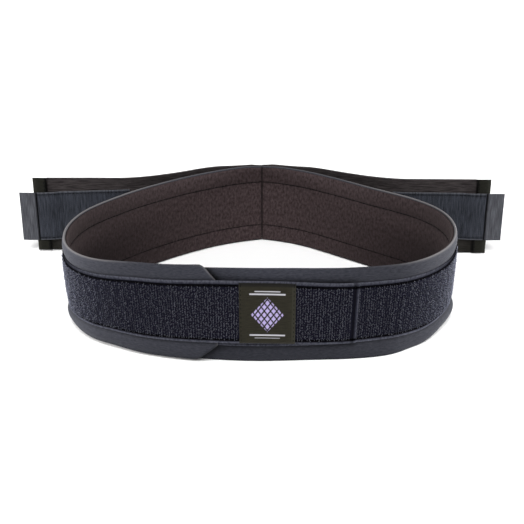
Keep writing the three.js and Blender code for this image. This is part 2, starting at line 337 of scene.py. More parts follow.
def mottled(tree, pitch, dark, light):
    """A colour that wanders between two, by noise whose grains have the given length along and up the cloth
    in millimetres. Gives the colour and the noise."""
    cloth = add(tree, "ShaderNodeAttribute", {}, attribute_name="cloth").outputs["Vector"]
    grain = add(tree, "ShaderNodeMapping", {"Vector": cloth, "Scale": (1 / pitch[0], 1 / pitch[1], 1.0)})
    noise = add(tree, "ShaderNodeTexNoise", {"Vector": grain.outputs[0], "Scale": 1.0, "Detail": 4.0,
                                             "Roughness": 0.6}).outputs[0]
    share = add(tree, "ShaderNodeMapRange", {"Value": noise, "From Min": 0.32, "From Max": 0.68})
    mixed = add(tree, "ShaderNodeMix", {0: share.outputs[0], 6: srgb(dark), 7: srgb(light)}, data_type="RGBA")
    return mixed.outputs[2], noise


def marked(tree, colour, attribute, mark):
    """The colour, covered with a mark's colour as far as an attribute of the points says."""
    share = add(tree, "ShaderNodeAttribute", {}, attribute_name=attribute).outputs["Fac"]
    mark = srgb(mark) if isinstance(mark, str) else mark
    return add(tree, "ShaderNodeMix", {0: share, 6: colour, 7: mark}, data_type="RGBA").outputs[2]


def embossed(tree, shader, colour, height, deep):
    """Gives the shader its colour, and a bump from a height, so many millimetres from low to high."""
    tree.links.new(colour, shader["Base Color"])
    bump = add(tree, "ShaderNodeBump", {"Height": height, "Strength": 0.6, "Distance": deep / 1000})
    tree.links.new(bump.outputs[0], shader["Normal"])


# Brushed polyester knit: short soft nap that scatters light, with streaks where the brush has gone.
# Low down at the sides, where the band bends, and a little along the top, painted shade darkens it.
# Its tufts are drawn a few millimetres long, coarser than the real ones, so that they show.
LINING_DARK, LINING_LIGHT, LINING_LOW_SHADE, LINING_GROOVE_SHADE = "#231a1b", "#493d3e", "#140e0f", "#080505"
LINING_TUFT, LINING_TUFT_DEEP = (1.9, 3.4), 0.8
brushed_knit, tree, shader = finish("brushed_polyester_knit", {
    "Roughness": 0.95, "Specular IOR Level": 0.15, "Sheen Weight": 0.08, "Sheen Roughness": 0.5,
    "Sheen Tint": srgb("#8a7c78")})
napped, tufts = mottled(tree, LINING_TUFT, LINING_DARK, LINING_LIGHT)
# Painted shade: low round the sides and along the top, then in the grooves, at the seam and inside the lap
napped = marked(tree, napped, "laid", LINING_LOW_SHADE)
embossed(tree, shader, marked(tree, napped, "sewn", LINING_GROOVE_SHADE), tufts, LINING_TUFT_DEEP)

# Spun polyester thread: black and dull, each stitch a short length whose ends dive into the cloth.
# Stitches, thread and its twist are a little coarser than real ones, so that the rows show.
THREAD_DARK, THREAD_LIGHT, THREAD_TWIST = "#040405", "#101013", (0.8, 0.8)
STITCH_LENGTH = 2.9
STITCH_PITCH = 3.6
THREAD_RADIUS = 0.3
THREAD_DIP = 0.35
thread, tree, shader = finish("spun_polyester_thread", {
    "Roughness": 0.9, "Specular IOR Level": 0.02})
tree.links.new(mottled(tree, THREAD_TWIST, THREAD_DARK, THREAD_LIGHT)[0], shader["Base Color"])


def spaced(start, stop, ends, pitch=STITCH_PITCH):
    """Centres an even pitch apart from start to stop, kept off both ends."""
    return np.arange(start + ends[0], stop - ends[1], pitch)


def stitches(name, slot, along, out, up, place, upward=False, facing=1):
    """Lengths of thread, one at each centre: five rings of six points along its length, thinner at the ends,
    bent by the square of the way from its middle so that both ends dip into the cloth."""
    along, out, up = (np.ravel(v)[:, None, None] for v in np.broadcast_arrays(along, out, up))
    length = np.array([-1.0, -0.8, 0.0, 0.8, 1.0])[:, None]
    thick = np.array([0.45, 0.9, 1.0, 0.9, 0.45])[:, None] * THREAD_RADIUS
    turn = np.radians(np.arange(0, 360, 60))
    run = np.broadcast_to(length * STITCH_LENGTH / 2, (len(length), len(turn)))
    side = thick * np.cos(turn)
    rise = facing * (thick * np.sin(turn) - THREAD_DIP * length**2)
    along, up = (along + side, up + run) if upward else (along + run, up + side)
    return rods(name, slot, along, out + rise, up, place, thread)


def stitched(along, up, deep, wavy):
    """How far the two stitched rows press the cloth: a bell-shaped groove at each, with puckers beside it
    that wave along the row, out of step between the two rows, and die away from it."""
    groove, pucker = 0, 0
    for number, row in enumerate(STITCH_ROWS):
        away = up - row
        groove = groove + bell(away, GROOVE_WIDE)
        phase = 2 * np.pi * along / PUCKER_LENGTH + PUCKER_WANDER * np.sin(along / WANDER_LENGTH + number)
        pucker = pucker + np.sin(phase) * np.exp(-np.abs(away) / PUCKER_REACH)
    return deep * groove + wavy * pucker


SEAM_DIP, SEAM_DIP_REACH = 0.9, 9.0


def lap_at(name, along):
    """A half's offset outward and upward at a place: the lap's table for the left one, none for the right."""
    return eased(LAP, along) * (name == "left")


def half_grid(name, along, rows):
    """Heights of a half's rows at each station, narrowed by its tapered end and a dip at the seam, and lifted
    by the lap, and the lap's outward and upward offset."""
    before_end = LEFT_END - along if name == "left" else along - RIGHT_END
    out, lift = lap_at(name, along)
    dip = SEAM_DIP * bell(HALF_LENGTHS[name] - np.abs(along), SEAM_DIP_REACH)
    low = LOW_EDGE_LIFT * lift + taper(before_end, TAPER_LOW)
    high = BELT_HEIGHT + lift - dip - taper(before_end, TAPER_HIGH)
    up = low[:, None] + rows / BELT_HEIGHT * (high - low)[:, None]
    return up, out[:, None], lift[:, None]


HALVES = {"left": (SEAM_HALF_GAP - LEFT_LENGTH, LEFT_END), "right": (RIGHT_END, RIGHT_LENGTH - SEAM_HALF_GAP)}

# At the seam the edge tucks in and is painted dark as shade, and small folds beside it die away upward and
# along the belt
SEAM_TUCK, SEAM_TUCK_LENGTH = 1.1, 2.4
SEAM_PUCKER, SEAM_PUCKER_HEIGHT, SEAM_PUCKER_REACH, SEAM_PUCKER_TOP = 0.3, 6.4, 9.0, 0.4
SEAM_DARK = 1.0

# How unevenly the painted shade in the grooves darkens, how much of the left half's end inside the lap is
# painted dark as shade, and where painted shade darkens the nap: round the sides, more toward the floor,
# and a little along the top
UNEVEN, UNEVEN_LENGTHS = 0.25, (3.1, 8.9)
HIDDEN_END = 24.0
LINING_SHADE_AT, LINING_SHADE_REACH, LINING_SHADE_BELOW, LINING_SHADE_LEAST, LINING_SHADE_MOST = 225.0, 105.0, 125.0, 0.1, 0.95
LINING_SHADE_ABOVE, LINING_SHADE_OVER, LINING_SHADE_TOP = 52.0, 12.0, 0.3
LINING_ROW_ENDS = (3.0, 12.0)
THREAD_SUNK = 0.25
lining_rows = steps(LINING_INSET, BELT_HEIGHT - LINING_INSET, coarse=2.0, near=STITCH_ROWS)
for name, (start, stop) in HALVES.items():
    inset = LINING_INSET * np.array([name == "right", name == "left"])
    along = steps(start + inset[0], stop - inset[1], STATION_STEP)
    up, out, lift = half_grid(name, along, lining_rows)
    mid = (up - lift - BELT_HEIGHT / 2) / (BELT_HEIGHT / 2)
    from_seam = HALF_LENGTHS[name] - np.abs(along)[:, None]
    tuck = SEAM_TUCK * np.clip(1 - from_seam / SEAM_TUCK_LENGTH, 0, 1) ** 2
    ripple = SEAM_PUCKER * np.sin(2 * np.pi * up / SEAM_PUCKER_HEIGHT + (name == "left"))
    ripple = ripple * np.exp(-from_seam / SEAM_PUCKER_REACH) * ease(-mid + SEAM_PUCKER_TOP)
    # How far the stitches press the cloth, used here for the face's shape only
    pressed = stitched(along[:, None], up - lift, GROOVE_DEPTH, PUCKER_DEPTH)
    face = LINING_FACES[0] + pressed - LINING_PUFF * (1 - mid**2) + tuck + ripple
    short, long = (np.sin(along / length)[:, None] for length in UNEVEN_LENGTHS)
    uneven = 1 - UNEVEN + UNEVEN * short * long
    # Painted shade in the stitched grooves, at the seam and on the left half's end inside the lap
    sewn = uneven * stitched(along[:, None], up - lift, 1, 0) ** 2
    sewn = np.maximum(sewn, 1 - ease(from_seam / SEAM_DARK))
    if name == "left":
        sewn = np.maximum(sewn, ease((along - LEFT_END) / HIDDEN_END + 1)[:, None])
    # Painted shade round the sides, more toward the floor, and a little along the top
    bent = LINING_SHADE_LEAST + (1 - LINING_SHADE_LEAST) * bell(np.abs(along) - LINING_SHADE_AT, LINING_SHADE_REACH)[:, None]
    laid = LINING_SHADE_MOST * bent * ease((LINING_SHADE_BELOW - up) / LINING_SHADE_BELOW)
    laid = np.minimum(laid + LINING_SHADE_TOP * ease((up - lift - LINING_SHADE_ABOVE) / LINING_SHADE_OVER), 1)
    lining = band(f"{name}_lining", "brushed_lining", along, up, face + out, LINING_FACES[1] + out, belt,
                  brushed_knit, sewn=sewn, laid=laid)
    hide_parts(f"lining_{name}")

    along = spaced(start, stop, LINING_ROW_ENDS)
    out, lift = lap_at(name, along)[:, :, None]
    lining_thread = stitches(f"{name}_lining_stitches", "brushed_lining", along[:, None], THREAD_SUNK + out,
                             np.array(STITCH_ROWS) + lift, belt, facing=-1)

# Panels: the belt's outer face, a napped nylon knit on the same foam, edge to edge with the lining.
# The borders above and below the loop tape stay soft and puff up a little between tape and cut edge.
PANEL_FACES = (1.76, 3.5)
BORDER = 13.0
BORDER_PUFF = 1.1
PANEL_PUCKER = 0.12
BORDER_STEP, UNDER_TAPE_STEP, UNDER_TAPE_FROM = 1.1, 4.0, 14.0

# Painted shade, a darker nap colour: in a strip beside the tape, along the lower edge, over the rest of each
# half but for the top of the front, which is left lighter where the light from above falls, and on the right
# half a painted shadow beside the lap and painted shade low in front under the tongue
TAPE_SHADE_WIDE, TAPE_SHADE_MOST = 5.0, 0.55
LOW_EDGE_SHADE_WIDE, LOW_EDGE_SHADE_MOST = 5.0, 0.6
HALF_SHADE = {"left": 0.23, "right": 0.36}
LIT_TOP_REACH = 68.0
LAP_SHADOW_LOW, LAP_SHADOW_HIGH, LAP_SHADOW_MOST = 14.0, 2.5, 0.98
LOW_FRONT_SHADE_AT, LOW_FRONT_SHADE_REACH, LOW_FRONT_SHADE_MOST = 40.0, 75.0, 0.38

# How far the cut edge shows its pale foam, its own colour that a painted highlight strengthens where light
# catches it: hardly in front, some toward the lap's end, wholly at the sides, and less behind them
RIM_WIDE = 1.2
RIM_FRONT = 0.08
RIM_LAP, RIM_LAP_FROM = 0.35, 1.5
RIM_FULL_FROM, RIM_FULL_TO = 80.0, 130.0
RIM_BACK_FROM, RIM_BACK_TO, RIM_BACK = 270.0, 350.0, 0.35

# Napped nylon knit: even fine loops, dull head on, paler where it is seen at a flat angle.
# The loops are drawn a few millimetres long, coarser than the real ones, so that they show.
PANEL_DARK, PANEL_LIGHT, PANEL_SHADE, FOAM_CORE = "#25262d", "#37383f", "#070709", "#5d5b5c"
PANEL_LOOP, PANEL_LOOP_DEEP = (3.2, 1.0), 0.5
napped_nylon, tree, shader = finish("napped_nylon_knit", {
    "Roughness": 0.85, "Specular IOR Level": 0.1, "Sheen Weight": 0.12, "Sheen Roughness": 0.35,
    "Sheen Tint": srgb("#9d9ea6")})
napped, grain = mottled(tree, PANEL_LOOP, PANEL_DARK, PANEL_LIGHT)
# Painted shade beside the tape, along the lower edge, over each half and beside the lap
napped = marked(tree, napped, "pressed", PANEL_SHADE)
# The pale cut edge: the foam's own colour, strengthened as a painted highlight at the sides and the lap's end
embossed(tree, shader, marked(tree, napped, "rim", FOAM_CORE), grain, PANEL_LOOP_DEEP)

# Where the left half's end lies over the right panel, by the height
LAPPED_UP = (2.5, 15.5, 68.0, 81.0)
LAPPED_END = (LEFT_END - TAPER_LOW, LEFT_END, LEFT_END, LEFT_END - TAPER_HIGH)
border_rows = steps(0, BORDER, BORDER_STEP, near=(BORDER,))
under_tape = steps(UNDER_TAPE_FROM, BELT_HEIGHT - UNDER_TAPE_FROM, UNDER_TAPE_STEP)
panel_rows = np.concatenate([border_rows, under_tape, BELT_HEIGHT - border_rows[::-1]])
for name, (start, stop) in HALVES.items():
    along = steps(start, stop, STATION_STEP)
    up, out, lift = half_grid(name, along, panel_rows)
    from_edge = np.minimum(up - lift, BELT_HEIGHT - (up - lift))
    puff = BORDER_PUFF * np.sin(np.pi * np.clip(from_edge / BORDER, 0, 1))
    face = PANEL_FACES[1] + puff - stitched(along[:, None], up - lift, 0, PANEL_PUCKER)
    cut_edge = np.minimum(up[:, -1:] - up, (stop - along if name == "left" else along - start)[:, None])
    # Painted highlight on the pale cut edge: slight in front, full at the sides, some at the lap's end
    foam_and_highlight = RIM_FRONT + (1 - RIM_FRONT) * climb(np.abs(along), RIM_FULL_FROM, RIM_FULL_TO)
    if name == "left":
        foam_and_highlight = np.maximum(foam_and_highlight, RIM_LAP * ease((along - LEFT_END) / TAPER_LOW + RIM_LAP_FROM))
    foam_and_highlight = foam_and_highlight - (1 - RIM_BACK) * climb(np.abs(along), RIM_BACK_FROM, RIM_BACK_TO)
    # Painted shade beside the tape and along the lower edge
    pressed = np.maximum(TAPE_SHADE_MOST * ease(1 - (BORDER - from_edge) / TAPE_SHADE_WIDE),
                         LOW_EDGE_SHADE_MOST * ease(1 - (up - up[:, :1]) / LOW_EDGE_SHADE_WIDE))
    # Painted shade over each half but for the top of the front, left lighter where light from above falls
    full = bell(along, LIT_TOP_REACH)[:, None] * (up > BELT_HEIGHT / 2)
    pressed = np.maximum(pressed, HALF_SHADE[name] * (1 - full))
    if name == "right":
        # Painted shade low in front under the tongue, and a painted shadow beside the lap's end
        low_front_shade = LOW_FRONT_SHADE_MOST * bell(along - LOW_FRONT_SHADE_AT, LOW_FRONT_SHADE_REACH)[:, None]
        beside = along[:, None] - np.interp(up, LAPPED_UP, LAPPED_END)
        reach = np.where(up < BELT_HEIGHT / 2, LAP_SHADOW_LOW, LAP_SHADOW_HIGH)
        lap_shadow = LAP_SHADOW_MOST * np.exp(-np.clip(beside, 0, None) / reach)
        pressed = np.maximum(pressed, np.maximum(low_front_shade * (up < BELT_HEIGHT / 2), lap_shadow))
    panel = band(f"{name}_panel", "panel_fabric", along, up, PANEL_FACES[0] + out, face + out, belt,
                 napped_nylon, rim=foam_and_highlight[:, None] * np.clip(1 - cut_edge / RIM_WIDE, 0, 1),
                 pressed=pressed)
    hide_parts(f"panel_{name}")

# Loop tapes: woven nylon tape with flat selvages and a brushed loop pile, 50 mm wide, sewn on flat.
# The left one runs on past the end of its panel as the tongue that closes the belt.
TAPE_LOW, TAPE_HIGH = 13.4, 63.9
TAPE_FROM_SEAM = 36.0
TAPE_FACES = (3.56, 4.7)
TAPE_GROOVE = 0.5
SELVAGE_FLAT, SELVAGE_WIDE = 0.5, 3.0
HIDDEN_AT, HIDDEN_REACH, HIDDEN_MOST, HIDDEN_PILE = 175.0, 55.0, 0.95, 1.0
TONGUE_ROW, TONGUE_ROW_WIDE, TONGUE_CUT = TONGUE_END - 3.3, 1.1, 1.3
TAPE_ROW_DARK, TAPE_ROW_ENDS = 2.0, (3.0, 3.0)
LABEL_FROM, LABEL_TO = -16.2, 23.8
TAPE_RUNS = {"left": (TAPE_FROM_SEAM - LEFT_LENGTH, TONGUE_END),
             "right": (RIGHT_END, RIGHT_LENGTH - TAPE_FROM_SEAM)}
tape_rows = steps(TAPE_LOW, TAPE_HIGH, coarse=2.5, near=STITCH_ROWS, fine=0.5)

# Woven nylon ground: dark under the pile, with smooth pale selvages that catch more light than it does.
# The picks of its weave are drawn coarser than the real ones, so that they show.
GROUND, ROW_SHADE, SELVAGE_DARK, SELVAGE_LIGHT = "#14141d", "#020203", "#2b2c33", "#4b4c55"
PICK, PICK_DEEP = (1.6, 2.6), 0.4
woven_ground, tree, shader = finish("woven_nylon_ground", {
    "Roughness": 0.9, "Specular IOR Level": 0.0})
edging, picks = mottled(tree, PICK, SELVAGE_DARK, SELVAGE_LIGHT)
edging = marked(tree, srgb(GROUND), "selvage", edging)
# The row colour is painted shade at the stitched rows and under the border's edge at the side corners
embossed(tree, shader, marked(tree, edging, "row", ROW_SHADE), picks, PICK_DEEP)

# Brushed nylon loops: round soft filaments, painted dark at the foot as shade and paler on the bend as a
# painted highlight.
# Each drawn loop stands for a tuft of real ones, which are too fine to show.
LOOP_ALONG, LOOP_UP = 1.8, 1.3
LOOP_JITTER = (0.25, 0.4)
LOOP_FOOT = 4.45
LOOP_HALF = (0.4, 0.75)
LOOP_RISE = (0.5, 1.0)
LOOP_RADIUS = 0.37
LOOP_SPREAD = 34.0
LOOP_MARGIN = 2.0
CLUMP, CLUMP_LENGTHS, CLUMP_WAVES, CLUMP_LEAN, CLUMP_PHASE = 0.25, (4.2, 10.0), 9, 0.4, 40.0
SEWN_WIDE, SEWN_LOW, SEWN_HIGH = 1.5, 0.2, 0.9
LOOP_DARK, LOOP_LIGHT = "#0d0d17", "#6a6d7c"
LOOP_DIM, LOOP_LEAST, FOOT_LIGHT = 0.3, 0.05, 0.15

# Where painted sheen makes the pile pale: not in front, wholly at the sides, less behind them. There its
# streaks are stronger, its loops more alike, and painted sheen pales the ground between them too.
SHEEN_FRONT, SHEEN_FROM, SHEEN_TO = 0.19, 90.0, 200.0
SHEEN_BACK, SHEEN_PAST, SHEEN_GONE = 0.65, 205.0, 290.0
STREAKED, EVENED, GROUND_SHEEN = 0.1, 0.5, 0.28
looped_nylon, tree, shader = finish("brushed_nylon_loops", {
    "Roughness": 0.8, "Specular IOR Level": 0.15, "Sheen Weight": 0.35, "Sheen Roughness": 0.35,
    "Sheen Tint": srgb("#b6b7be")})
tree.links.new(marked(tree, srgb(LOOP_DARK), "nap", LOOP_LIGHT), shader["Base Color"])
chance = np.random.default_rng(20)


def under_border(along):
    """How far the puffed upper border shades the tape's upper selvage: a bell curve at each side corner."""
    return HIDDEN_MOST * bell(np.abs(along) - HIDDEN_AT, HIDDEN_REACH)


def painted_sheen(along):
    """How much painted sheen the pile has: an eased step up from front to side, less a part of one behind the
    side.
    """
    back = SHEEN_BACK * climb(np.abs(along), SHEEN_PAST, SHEEN_GONE)
    return climb(np.abs(along), SHEEN_FROM, SHEEN_TO) - back


def pile(name, start, stop):
    """Loops on a shaken grid, each half an ellipse from foot to foot: four rings of three points, turned at
    random about the way up the tape. There are none where stitches or the label press the pile down, and
    none under the tongue. A sum of waves that run mostly along the tape makes upright streaks, which stand
    higher and look paler than the hollows between."""
    along, up = np.meshgrid(np.arange(start + LOOP_MARGIN, stop - LOOP_MARGIN, LOOP_ALONG),
                            np.arange(*STITCH_ROWS, LOOP_UP), indexing="ij")
    up = up + LOOP_UP / 2 * (np.round(along / LOOP_ALONG) % 2)
    along, up = (v + far * chance.standard_normal(v.shape) for v, far in zip((along, up), LOOP_JITTER))
    top = STITCH_ROWS[1] - SEWN_HIGH + HIDDEN_PILE * under_border(along)
    free = (up > STITCH_ROWS[0] + SEWN_LOW) & (up < top)
    if name == "left":
        free &= (np.abs(along - TONGUE_ROW) > SEWN_WIDE) & ((along < LABEL_FROM) | (along > LABEL_TO))
    else:
        free &= along > TONGUE_END + SEWN_WIDE
    along, up = along[free][:, None, None], up[free][:, None, None]
    half, rise = (low + (high - low) * chance.random(along.shape) for low, high in (LOOP_HALF, LOOP_RISE))
    turn = np.radians(90 + LOOP_SPREAD * chance.standard_normal(along.shape))
    way = CLUMP_LEAN * chance.standard_normal(CLUMP_WAVES)
    size = CLUMP_LENGTHS[0] + (CLUMP_LENGTHS[1] - CLUMP_LENGTHS[0]) * chance.random(CLUMP_WAVES)
    waves = np.sin(2 * np.pi * (along * np.cos(way) + up * np.sin(way)) / size + CLUMP_PHASE * way)
    clump = CLUMP * waves.sum(-1, keepdims=True) / np.sqrt(CLUMP_WAVES / 2)
    rise = rise * (1 + clump)
    beside = painted_sheen(along)
    own = 0.5 + (chance.random(along.shape) - 0.5) * (1 - EVENED * beside)
    bright = LOOP_DIM + (1 - LOOP_DIM) * own + clump * (1 + STREAKED * beside)
    bright = np.clip(bright, LOOP_LEAST, 1)
    bend = np.linspace(0, np.pi, 4)[:, None]
    around = np.radians([90, 210, 330])
    thick = LOOP_RADIUS * np.array([0.5, 1, 1, 0.5])[:, None]
    square = np.hypot(np.cos(bend) * rise, np.sin(bend) * half)
    run = -np.cos(bend) * half * (1 + thick * np.sin(around) * rise / half / square)
    side = thick * np.cos(around)
    out, lift = lap_at(name, along)
    high = LOOP_FOOT + np.sin(bend) * (rise + thick * np.sin(around) * half / square) + out
    sheen_share = SHEEN_FRONT + (1 - SHEEN_FRONT) * beside
    # Painted shade at each loop's foot, a painted highlight on its bend, and painted sheen at the sides
    nap = sheen_share * bright * (FOOT_LIGHT + (1 - FOOT_LIGHT) * np.sin(bend))
    nap = np.broadcast_to(nap, high.shape)
    return rods(f"{name}_loop_pile", "loop_pile", along + run * np.cos(turn) - side * np.sin(turn), high,
                up + run * np.sin(turn) + side * np.cos(turn) + lift, belt, looped_nylon, nap=nap.ravel())


tongue_up = np.arange(*STITCH_ROWS, STITCH_PITCH) + STITCH_PITCH / 2
for name, (start, stop) in TAPE_RUNS.items():
    along = steps(start, stop, coarse=2.6)
    out, lift = lap_at(name, along)[:, :, None]
    up = np.broadcast_to(tape_rows, (len(along), len(tape_rows)))
    face = TAPE_FACES[1] - stitched(along[:, None], up, TAPE_GROOVE, 0)
    from_edge = np.minimum(up - TAPE_LOW, TAPE_HIGH - up)
    from_edge = np.minimum(from_edge, np.abs(along - TONGUE_END)[:, None] + TONGUE_CUT)
    selvage = 1 - ease((from_edge - SELVAGE_FLAT) / SELVAGE_WIDE)
    # Painted sheen pales the ground at the side corners
    selvage = np.maximum(selvage, GROUND_SHEEN * painted_sheen(along)[:, None])
    # Painted shade: the stitched rows, the tongue's end row, and under the puffed upper border at the side
    # corners
    hidden = under_border(along)[:, None] * (up > STITCH_ROWS[1])
    end_row = bell(along - TONGUE_ROW, TONGUE_ROW_WIDE)[:, None] * (name == "left")
    row = np.minimum(stitched(along[:, None], up, TAPE_ROW_DARK, 0) + end_row + hidden, 1)
    tape = band(f"{name}_loop_tape", "loop_pile", along, up + lift, TAPE_FACES[0] + out, face + out, belt,
                woven_ground, selvage=selvage, row=row)
    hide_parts(f"loop_tape_{name}")
    on_tape = [pile(name, start, stop)]
    along = spaced(start, stop, TAPE_ROW_ENDS)[:, None]
    out, lift = lap_at(name, along)
    on_tape.append(stitches(f"{name}_tape_stitches", "loop_pile", along, TAPE_FACES[1] + out,
                            np.array(STITCH_ROWS) + lift, belt))
    if name == "left":
        out, lift = lap_at(name, np.array([TONGUE_ROW]))
        on_tape.append(stitches("tongue_stitches", "loop_pile", TONGUE_ROW, TAPE_FACES[1] + out,
                                tongue_up + lift, belt, upward=True))

# Hook patch: the half of the closure that grips the right tape, sewn to the back of the tongue.
# Only its edge shows, between the tongue and the tape below it.
CLOSURE_FACES = (5.9, 7.1)
CLOSURE_LOW, CLOSURE_HIGH = 15.0, 61.0
CLOSURE_FROM, CLOSURE_TO = LEFT_END + 3.0, TONGUE_END - 3.0

# Woven hook tape: nylon on a ribbed ground, a dull cold grey, paler where it has no hooks.
# The ribs are drawn wider than the real ones, so that they show.
HOOK_DARK, HOOK_LIGHT, HOOK_SEWN_AND_SHADE = "#16181d", "#32353d", "#010102"
BARE_DARK, BARE_LIGHT = "#2d2e32", "#494a4f"
RIB_WIDE = 1.5
RIB_STREAK, RIB_STREAK_DEEP = (RIB_WIDE, 16.0), 0.4
hook_tape, tree, shader = finish("woven_hook_tape", {
    "Roughness": 0.7, "Specular IOR Level": 0.1, "Sheen Weight": 0.08, "Sheen Tint": srgb("#a5a7b3")})
hooked, ribs = mottled(tree, RIB_STREAK, HOOK_DARK, HOOK_LIGHT)
bare = mottled(tree, RIB_STREAK, BARE_DARK, BARE_LIGHT)[0]
hooked = marked(tree, hooked, "bare", bare)
# The sewn mark is the dark stitch lines, with painted shade in the tab's pressed groove
embossed(tree, shader, marked(tree, hooked, "sewn", HOOK_SEWN_AND_SHADE), ribs, RIB_STREAK_DEEP)

along = steps(CLOSURE_FROM, CLOSURE_TO, coarse=3.0)
up = steps(CLOSURE_LOW, CLOSURE_HIGH, coarse=3.0) + lap_at("left", along)[1][:, None]
closure = band("closure_hook_patch", "hook_tape", along, up, *CLOSURE_FACES, belt, hook_tape,
               bare=0.0, sewn=0.0)
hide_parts("closure_hook")

# Label: a damask satin label on the tongue, its edges folded under and sewn down at both sides.
# The pattern woven into it is a plain lattice of lozenges between two pairs of rules.
LABEL_LOW, LABEL_HIGH = 14.2, 62.6
LABEL_THICK = 0.6
LABEL_OVER = 5.5
LABEL_TUCK, LABEL_FOLD = 0.8, 2.2
LABEL_ROW, LABEL_ROW_ENDS, LABEL_SUNK = 1.4, (3.0, 2.0), 0.35
LABEL_TURNED, TURNED_DEEP, TURNED_WIDE = 3.2, 0.25, 0.5
SHADE_FROM, SHADE_WIDE = 3.5, 2.5
LOZENGE = (4.4, 6.2)
LOZENGE_LINE = 0.15
FIGURE_HALF = (11.5, 13.5)
RULES = ((16.4, 0.6, 12.5), (18.6, 0.35, 9.0))

# Damask satin: long smooth floats with a soft gleam, dark olive ground and lilac figure.
# The floats are drawn longer and wider than the real ones, so that they show.
SATIN_DARK, SATIN_LIGHT, SATIN_TURNED = "#17150e", "#232117", "#24231b"
FIGURE, RULE, SHADE = "#9a8fb8", "#a3a2a8", "#0b0a07"
FLOAT, FLOAT_DEEP = (6.0, 0.8), 0.2
satin, tree, shader = finish("damask_satin", {
    "Roughness": 0.6, "Specular IOR Level": 0.1, "Sheen Weight": 0.02})
ground, floats = mottled(tree, FLOAT, SATIN_DARK, SATIN_LIGHT)
for mark, colour in (("turned", SATIN_TURNED), ("shade", SHADE), ("figure", FIGURE), ("rule", RULE)):
    ground = marked(tree, ground, mark, colour)
embossed(tree, shader, ground, floats, FLOAT_DEEP)

along = steps(LABEL_FROM, LABEL_TO, coarse=0.4)
out, lift = lap_at("left", along)[:, :, None]
aside, over = np.meshgrid(along, steps(LABEL_LOW, LABEL_HIGH, coarse=0.4), indexing="ij")
edge = np.minimum(np.minimum(aside - LABEL_FROM, LABEL_TO - aside),
                  np.minimum(over - LABEL_LOW, LABEL_HIGH - over))
right, high = aside - (LABEL_FROM + LABEL_TO) / 2, over - BELT_HEIGHT / 2
rising, falling = (right / LOZENGE[0] + sign * high / LOZENGE[1] for sign in (1, -1))
between = np.minimum(np.abs(rising - np.round(rising)), np.abs(falling - np.round(falling)))
inside = np.abs(right) / FIGURE_HALF[0] + np.abs(high) / FIGURE_HALF[1] < 1
ruling = sum((np.abs(np.abs(high) - at) < half) & (np.abs(right) < reach) for at, half, reach in RULES)
groove = TURNED_DEEP * bell(LABEL_TO - LABEL_TURNED - aside, TURNED_WIDE)
inner = LABEL_OVER + out - LABEL_TUCK * (1 - ease(edge / LABEL_FOLD))
label = band("tongue_label", "satin_label", along, over + lift, inner, inner + LABEL_THICK - groove, belt,
             satin, figure=inside & (between > LOZENGE_LINE), rule=ruling,
             shade=ease((over - LABEL_HIGH + SHADE_FROM) / SHADE_WIDE),
             turned=ease((aside - LABEL_TO + LABEL_TURNED) / TURNED_WIDE))
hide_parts("label")
label_side = np.array([LABEL_FROM + LABEL_ROW, LABEL_TO - LABEL_ROW])
label_up = spaced(LABEL_LOW, LABEL_HIGH, LABEL_ROW_ENDS)[:, None]
out, lift = lap_at("left", label_side)
label_thread = stitches("label_stitches", "satin_label", label_side,
                        LABEL_OVER + LABEL_THICK - LABEL_SUNK + out, label_up + lift, belt, upward=True)

# Pull straps: wide woven elastic with ribs along its length, sewn on at the back seam.
# The end of each is folded to the front and sewn down as a hem.
STRAP_OUT = 3.8
STRAP_THICK = 2.0
HEM_LENGTH = 13.0
HEM_ROUND = 0.5
HEM_ROW, HEM_ROW_WIDE, HEM_STITCHES = 0.7, 1.2, 2.4
STRAP_ROW_ENDS = (3.0, 2.0)
RIB_PITCH = 1.7
RIB_DEPTH = 0.16
SEWN_ON = (4.0, 10.0)
STRAP_SHADE_BELOW, STRAP_SHADE_MOST = 45.0, 0.8
# Lift off the floor at the seam. Arcs from there outward: length, turn, lift at the arc's end.
# Then each strap's arcs, side, low and high edge
STRAP_LIFT = 2.2
LEFT_STRAP = [(12.0, 3.0, 3.8), (25.4, -11.0, 4.0), (43.0, 21.8, 2.0), (63.3, -30.4, 0.8),
              (74.2, 0.0, 0.0)]
RIGHT_STRAP = [(12.0, 3.0, 3.5), (27.4, -9.2, 3.2), (41.5, 20.2, 1.4), (63.5, -27.5, 0.2),
               (72.3, 0.0, 0.0)]
STRAPS = {"left": (LEFT_STRAP, -1, 1.3, 73.0), "right": (RIGHT_STRAP, 1, 0.8, 73.5)}

# Woven elastic: dark ribs over rubber cords, brownish on the face and black-olive on the back.
# The ribs are drawn wider than the real ones, so that they show.
# Low on the face painted shade darkens it toward the floor, and a painted shadow lies along the hem's step
ELASTIC_DARK, ELASTIC_LIGHT, ELASTIC_BACK_AND_SHADE, ELASTIC_SEWN_AND_SHADE = "#191617", "#363232", "#161612", "#010101"
CORD, CORD_DEEP = (11.0, 1.2), 0.4
elastic, tree, shader = finish("woven_elastic", {
    "Roughness": 0.85, "Specular IOR Level": 0.05, "Sheen Weight": 0.06, "Sheen Tint": srgb("#8a8584")})
ribbed, cords = mottled(tree, CORD, ELASTIC_DARK, ELASTIC_LIGHT)
ribbed = marked(tree, ribbed, "back", ELASTIC_BACK_AND_SHADE)
embossed(tree, shader, marked(tree, ribbed, "sewn", ELASTIC_SEWN_AND_SHADE), cords, CORD_DEEP)


def strap_wall(side, path):
    """The place of a strap's points: its path, moved across it, and lifted by the path's eased value."""
    def place(distance, out, up):
        point, heading, lift = path(mitred(np.asarray(distance, float), out))
        return upright(point, heading, side, out, up + lift)
    return place


